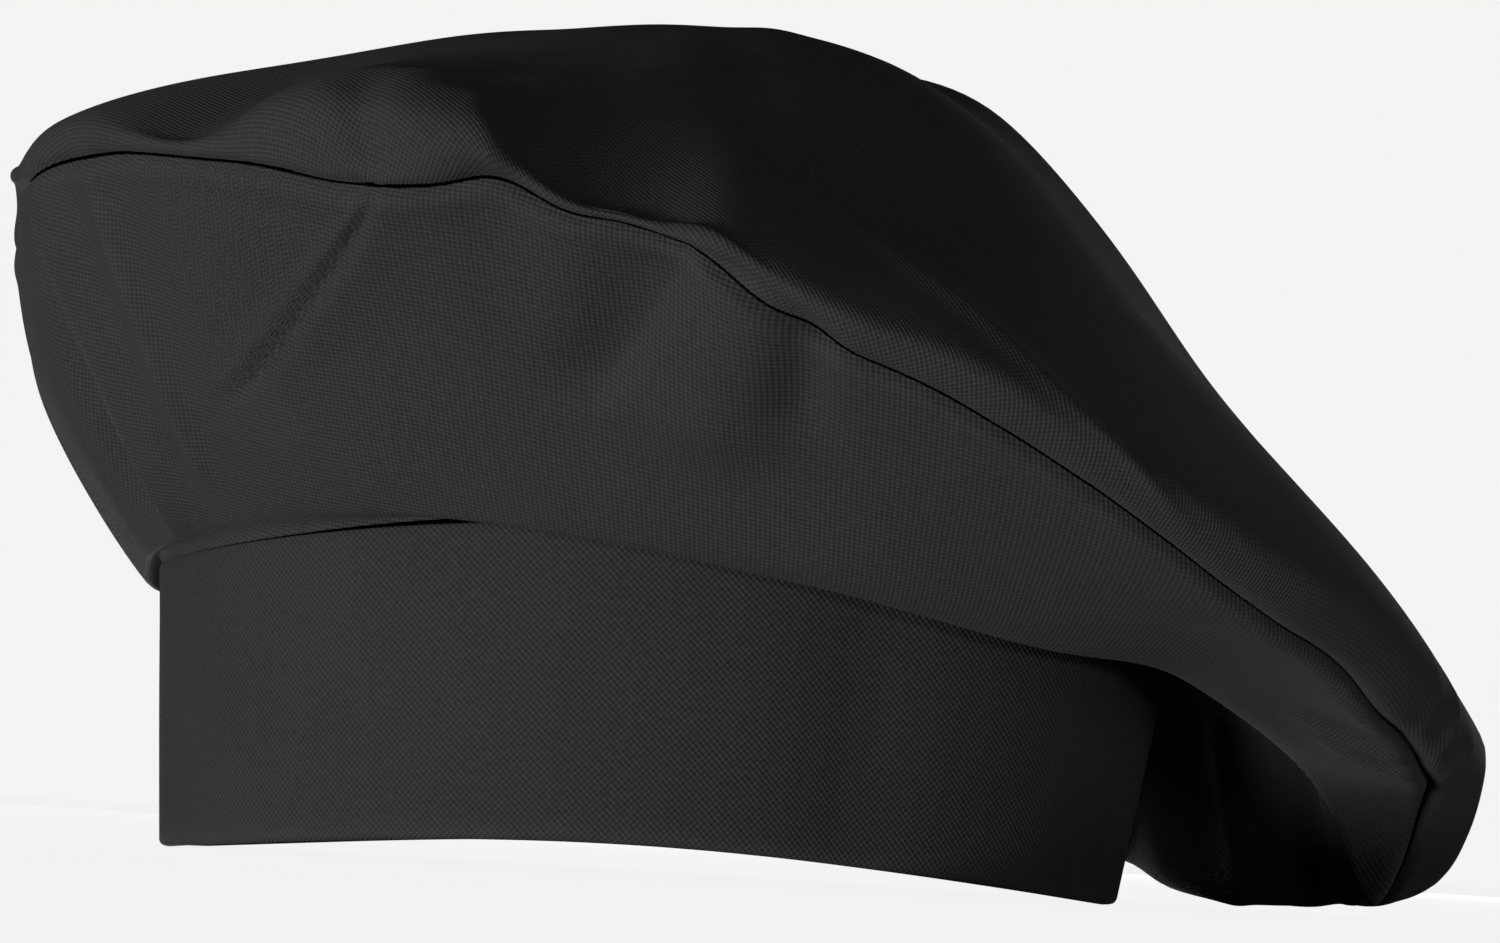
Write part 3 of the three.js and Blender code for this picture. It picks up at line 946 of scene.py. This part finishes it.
def wear_and_highlight_group():
    """Masks for fading, rubbed edges with a painted crease highlight, and lint on a cloth map in metres."""
    strengths = {"Rub_and_highlight": 0.0, "Lint": LINT_STRENGTH}
    group, given, result = new_group("lint_fading_and_highlight", strengths, ["Fade", "Speck"])
    cloth = given.outputs["Cloth"]
    rub = noise_on_cloth(group, cloth, RUB_AND_HIGHLIGHT_PER_METRE, detail=2.0)
    # The edge input holds rubbed edges and, on the side panel, a painted highlight along the pressed
    # creases.
    rubbed = math_node(group, "MULTIPLY", given.outputs["Rub_and_highlight"], rub)
    cloud = noise_on_cloth(group, cloth, CLOUD_PER_METRE, detail=4.0)
    clouds = math_node(group, "MULTIPLY", cloud, CLOUD_SHARE)
    fade = math_node(group, "ADD", clouds, rubbed, clamp=True)
    dots = new_node(group, "ShaderNodeTexVoronoi", {"Vector": cloth, "Scale": LINT_PER_METRE})
    near = math_node(group, "LESS_THAN", dots.outputs["Distance"], LINT_RADIUS)
    speck = math_node(group, "MULTIPLY", near, given.outputs["Lint"])
    set_inputs(group, result, {"Fade": fade, "Speck": speck})
    return group


WEAR_AND_HIGHLIGHT = wear_and_highlight_group()
print("group made:", WEAR_AND_HIGHLIGHT.name)

# %% [markdown]
# ## The cloth materials
# Both cloths are the same black twill. The headband's copy is painted a touch darker and the crown's a touch
# lighter: painted shade on the band and painted light on the crown. A matt shader with a little sheen gives
# the soft edge light of cotton. A velvet would look too furry and a plain diffuse shader too flat. The weave
# feeds the colour, the roughness and a bump, because its threads are too fine to be modelled.

# %% Build the materials
FADED_AND_HIGHLIT_GAIN = 1.6
MOST_FADED_AND_HIGHLIT = 0.3
LINT_COLOUR = (0.09, 0.087, 0.085, 1)
WEAVE_HEIGHT = 0.17
THREAD_SHINE = -0.1
COTTON_SURFACE = {
    "Specular IOR Level": 0.25,
    "Sheen Weight": 0.06,
    "Sheen Roughness": 0.5,
    "Sheen Tint": (0.5, 0.48, 0.47, 1),
}


def mixed_colour(tree, share, first, second):
    """A mix of two colours by a share."""
    node = tree.nodes.new("ShaderNodeMix")
    node.data_type = "RGBA"
    return set_inputs(tree, node, {"Factor": share, "A": first, "B": second}).outputs["Result"]


def placed_group(tree, group, inputs):
    """A node group placed in a material, with its inputs set."""
    node = tree.nodes.new("ShaderNodeGroup")
    node.node_tree = group
    return set_inputs(tree, node, inputs)


def twill_material(name, dark, light, roughness):
    """Black twill with dark and light threads, fading with a painted crease highlight, and lint."""
    material = bpy.data.materials.new(name)
    material.use_nodes = True
    tree = material.node_tree
    shader = tree.nodes["Principled BSDF"]
    cloth_map = tree.nodes.new("ShaderNodeUVMap")
    cloth_map.uv_map = "cloth"
    edge = tree.nodes.new("ShaderNodeAttribute")
    edge.attribute_name = "edge"
    cloth = cloth_map.outputs["UV"]
    weave = placed_group(tree, TWILL, {"Cloth": cloth})
    wear_and_highlight = placed_group(tree, WEAR_AND_HIGHLIGHT, {"Cloth": cloth, "Rub_and_highlight": edge.outputs["Fac"]})
    # The fade mask lightens faded cloth, rubbed edges and the painted crease highlight alike.
    faded_and_highlit_colour = [value * FADED_AND_HIGHLIT_GAIN for value in light[:3]] + [1]
    fading = math_node(tree, "MULTIPLY", wear_and_highlight.outputs["Fade"], MOST_FADED_AND_HIGHLIT)
    threads = mixed_colour(tree, weave.outputs["Thread"], dark, light)
    faded_and_highlit = mixed_colour(tree, fading, threads, faded_and_highlit_colour)
    bump_inputs = {"Strength": 1.0, "Distance": WEAVE_HEIGHT * MM, "Height": weave.outputs["Height"]}
    bump = new_node(tree, "ShaderNodeBump", bump_inputs)
    set_inputs(tree, shader, {
        "Base Color": mixed_colour(tree, wear_and_highlight.outputs["Speck"], faded_and_highlit, LINT_COLOUR),
        "Roughness": math_node(tree, "MULTIPLY_ADD", weave.outputs["Height"], THREAD_SHINE, roughness),
        "Normal": bump.outputs["Normal"],
    })
    set_inputs(tree, shader, COTTON_SURFACE)
    return material


# The crown's threads are painted a touch lighter and the headband's a touch darker: painted light and
# painted shade on one cloth.
crown_cloth_painted_lighter = twill_material(
    "crown_twill", dark=(0.009, 0.009, 0.009, 1), light=(0.069, 0.066, 0.065, 1), roughness=0.9)
band_cloth_painted_darker = twill_material(
    "band_twill", dark=(0.008, 0.008, 0.008, 1), light=(0.062, 0.059, 0.058, 1), roughness=0.88)
print("cloths:", crown_cloth_painted_lighter.name, band_cloth_painted_darker.name)

# %% [markdown]
# ## Dressing the frame
# Each cloth shell takes the place of one plain solid of the frame and its material slot. The hat is soft
# all over and has no hinge, so every piece rides on the one body named root.

# %% Put each piece on the frame
PIECES = [
    (headband, "headband", "band_twill", band_cloth_painted_darker),
    (crown_side, "crown_side", "crown_twill", crown_cloth_painted_lighter),
    (crown_top, "crown_top", "crown_twill", crown_cloth_painted_lighter),
]
for piece, node, slot, material in PIECES:
    piece.data.materials.append(material)
    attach(piece, "root")
    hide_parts(node)
    print(piece.name, "stands for", node)

# %% [markdown]
# ### The flat cut of each piece
# Each piece was cut flat before it was sewn. The top panel is a disc, the side panel a bowed strip, and the
# headband a straight strip folded in half along its length. The headband's two layers are one shell here,
# and its cut was twice as wide. The cloth maps above are drawn on these flat shapes, so the weave keeps its
# true scale.

# %% [markdown]
# ## Floor, light and camera
# The hat stands on a pale floor in soft studio light. Most of the light comes from low on the near left
# and little of it from above, so the sides are lit and the flat top stays dark. A white floor would throw
# light back up at the hat. So the floor is grey to the lamps and glows for the camera alone, which keeps
# it pale.

# %% Floor
FLOOR_HALF = 40.0
FLOOR_GREY = (0.4, 0.4, 0.4, 1)
FLOOR_GLOW = 0.87
floor_mesh = bpy.data.meshes.new("floor")
floor_corners = [(x * FLOOR_HALF, y * FLOOR_HALF, 0.0) for x, y in [(-1, -1), (1, -1), (1, 1), (-1, 1)]]
floor_mesh.from_pydata(floor_corners, [], [(0, 1, 2, 3)])
floor = new_object("floor", floor_mesh)
floor_material = bpy.data.materials.new("pale_floor")
floor_material.use_nodes = True
floor_tree = floor_material.node_tree
floor_shader = floor_tree.nodes["Principled BSDF"]
matt_grey = {"Base Color": FLOOR_GREY, "Roughness": 1.0, "Specular IOR Level": 0.0}
set_inputs(floor_tree, floor_shader, matt_grey)
seen = floor_tree.nodes.new("ShaderNodeLightPath").outputs["Is Camera Ray"]
glow_strength = math_node(floor_tree, "MULTIPLY", seen, FLOOR_GLOW)
glow = new_node(floor_tree, "ShaderNodeEmission", {"Strength": glow_strength})
shaders = {0: floor_shader.outputs["BSDF"], 1: glow.outputs["Emission"]}
both = new_node(floor_tree, "ShaderNodeAddShader", shaders)
set_inputs(floor_tree, floor_tree.nodes["Material Output"], {"Surface": both.outputs["Shader"]})
floor_mesh.materials.append(floor_material)
print("floor, m across:", 2 * FLOOR_HALF)

# %% [markdown]
# ### The room's own light
# A studio's walls throw back a little light from all round, more from the sides than from the dark
# ceiling. A plain grey world would light the hat's flat top too much. So the world is a little brighter at
# the horizon than overhead. The camera sees an even pale backdrop instead.

# %% World
WORLD_SEEN = 0.9
HORIZON_LIGHT = 0.06
OVERHEAD_LIGHT = 0.02
HORIZON_ENDS_AT = 0.05
OVERHEAD_STARTS_AT = 0.55
world = bpy.data.worlds.new("studio")
bpy.context.scene.world = world
world.use_nodes = True
world_tree = world.node_tree
direction = world_tree.nodes.new("ShaderNodeTexCoord")
height = new_node(world_tree, "ShaderNodeSeparateXYZ", {0: direction.outputs["Generated"]})
fall = new_node(world_tree, "ShaderNodeMapRange", {
    "Value": height.outputs["Z"],
    "From Min": HORIZON_ENDS_AT,
    "From Max": OVERHEAD_STARTS_AT,
    "To Min": HORIZON_LIGHT,
    "To Max": OVERHEAD_LIGHT,
})
fall.interpolation_type = "SMOOTHSTEP"
world_seen = world_tree.nodes.new("ShaderNodeLightPath")
pick = new_node(world_tree, "ShaderNodeMix", {
    "Factor": world_seen.outputs["Is Camera Ray"],
    "A": fall.outputs["Result"],
    "B": WORLD_SEEN,
})
set_inputs(world_tree, world_tree.nodes["Background"], {
    "Color": (1, 1, 1, 1),
    "Strength": pick.outputs["Result"],
})
print("world's light, low and overhead:", HORIZON_LIGHT, OVERHEAD_LIGHT)

# %% [markdown]
# ### Low lamps
# In the photograph the cloth that leans outwards is as bright as the upright band, so the light must reach
# it from below the level of the table. A studio does that with lamps at the edge of a small glass table.
# Here such lamps stand below the floor, which light linking makes clear for them alone: they light only
# the cloth, and only the cloth and a card can block them. The card lies just under the hat and keeps their
# light off the underside of the crown, as the band's own table would.

# %% The card under the hat
CARD_MIDDLE = (0.035, 0.0, -0.0005)
CARD_HALF_LENGTH = 0.135
CARD_HALF_WIDTH = 0.088
CARD_CORNERS = 48
card_turns = [2 * math.pi * corner / CARD_CORNERS for corner in range(CARD_CORNERS)]
card_corners = [
    (CARD_HALF_LENGTH * math.cos(turn), CARD_HALF_WIDTH * math.sin(turn), 0.0) for turn in card_turns
]
card_mesh = bpy.data.meshes.new("card")
card_mesh.from_pydata(card_corners, [], [list(range(CARD_CORNERS))])
card = new_object("card", card_mesh)
card.location = CARD_MIDDLE
print("card, m:", 2 * CARD_HALF_LENGTH, "by", 2 * CARD_HALF_WIDTH)

# %% [markdown]
# ### Softboxes
# A softbox is a lamp behind a white cloth, and a rectangular area light is the same in Blender. Point
# lights would give the folds hard shadows. The strongest one stands low at the front left, as the
# photograph's shading shows.

# %% Place the softboxes
HAT_HEART = (0.0, 0.0, 0.08)
LIGHT_COLUMNS = ["name", "place", "width", "height", "watts"]
LIGHT_ROWS = [
    ["low_side", (-1.9, -1.1, -0.4), 1.2, 0.4, 3],
    ["low_front_left", (-1.5, -1.6, -0.4), 1.2, 0.4, 29],
    ["side_left", (-2.1, -0.9, 0.1), 1.2, 0.18, 3],
    ["front_right", (1.2, -1.9, 0.1), 1.2, 0.18, 5],
    ["low_far", (-0.5, 2.3, -0.4), 1.4, 0.4, 20],
    ["low_rear", (2.2, 0.9, -0.4), 1.2, 0.4, 2.5],
    ["rear", (0.9, 2.0, 0.35), 1.8, 0.8, 9],
]


def softbox(name, place, aim, width, height, watts):
    """A rectangular soft light at a place, turned to what it lights. Sizes and places in metres."""
    light = bpy.data.lights.new(name, "AREA")
    light.shape = "RECTANGLE"
    light.size = width
    light.size_y = height
    light.energy = watts
    holder = new_object(name, light)
    holder.location = place
    holder.rotation_mode = "QUATERNION"
    holder.rotation_quaternion = (Vector(aim) - Vector(place)).to_track_quat("-Z", "Y")
    print("light:", name)
    return holder


cloth_only = bpy.data.collections.new("hat_cloth")
shades = bpy.data.collections.new("shades_of_low_lamps")
for piece in (headband, crown_side, crown_top):
    cloth_only.objects.link(piece)
    shades.objects.link(piece)
shades.objects.link(card)
for row in LIGHT_ROWS:
    lamp = dict(zip(LIGHT_COLUMNS, row))
    held = softbox(aim=HAT_HEART, **lamp)
    if lamp["place"][2] < 0:
        held.light_linking.receiver_collection = cloth_only
        held.light_linking.blocker_collection = shades

# %% [markdown]
# ### Camera
# The photograph was taken almost level with the table, from the wearer's left, with the hat's base running
# down a little to the right. The camera stands at the same place and has the same slight roll. Its lens
# comes from the photograph's width and its focal length, both in pixels.

# %% Camera at the photograph's angle
PHOTO_WIDTH = 1500
FOCAL_PIXELS = 3445.0
SENSOR_MM = 36.0
CAMERA_PLACE = np.array([17.4, -700.0, 8.0])
CAMERA_AIM = np.array([17.4, 0.0, 83.0])
CAMERA_ROLL = math.radians(3.57)
NEAREST_SEEN = 0.01
camera_data = bpy.data.cameras.new("camera")
camera_data.sensor_width = SENSOR_MM
camera_data.lens = FOCAL_PIXELS / PHOTO_WIDTH * SENSOR_MM
camera_data.clip_start = NEAREST_SEEN
camera = new_object("camera", camera_data)
ahead = Vector(CAMERA_AIM - CAMERA_PLACE).normalized()
level_right = ahead.cross(Vector((0, 0, 1))).normalized()
level_up = level_right.cross(ahead)
right = level_right * math.cos(CAMERA_ROLL) + level_up * math.sin(CAMERA_ROLL)
up = right.cross(ahead)
turned = Matrix((right, up, -ahead)).transposed()
camera.matrix_world = Matrix.Translation(Vector((CAMERA_PLACE + BAND_MIDDLE) * MM)) @ turned.to_4x4()
bpy.context.scene.camera = camera
bpy.context.scene.view_settings.view_transform = "Standard"
print("camera at, m:", [round(value, 3) for value in camera.location])

# %% [markdown]
# ## The end of the lesson
# A dressed hat has to fill the same space as its plain solids. Here the scene is only brought up to date.

# %% The end of the lesson
bpy.context.view_layer.update()
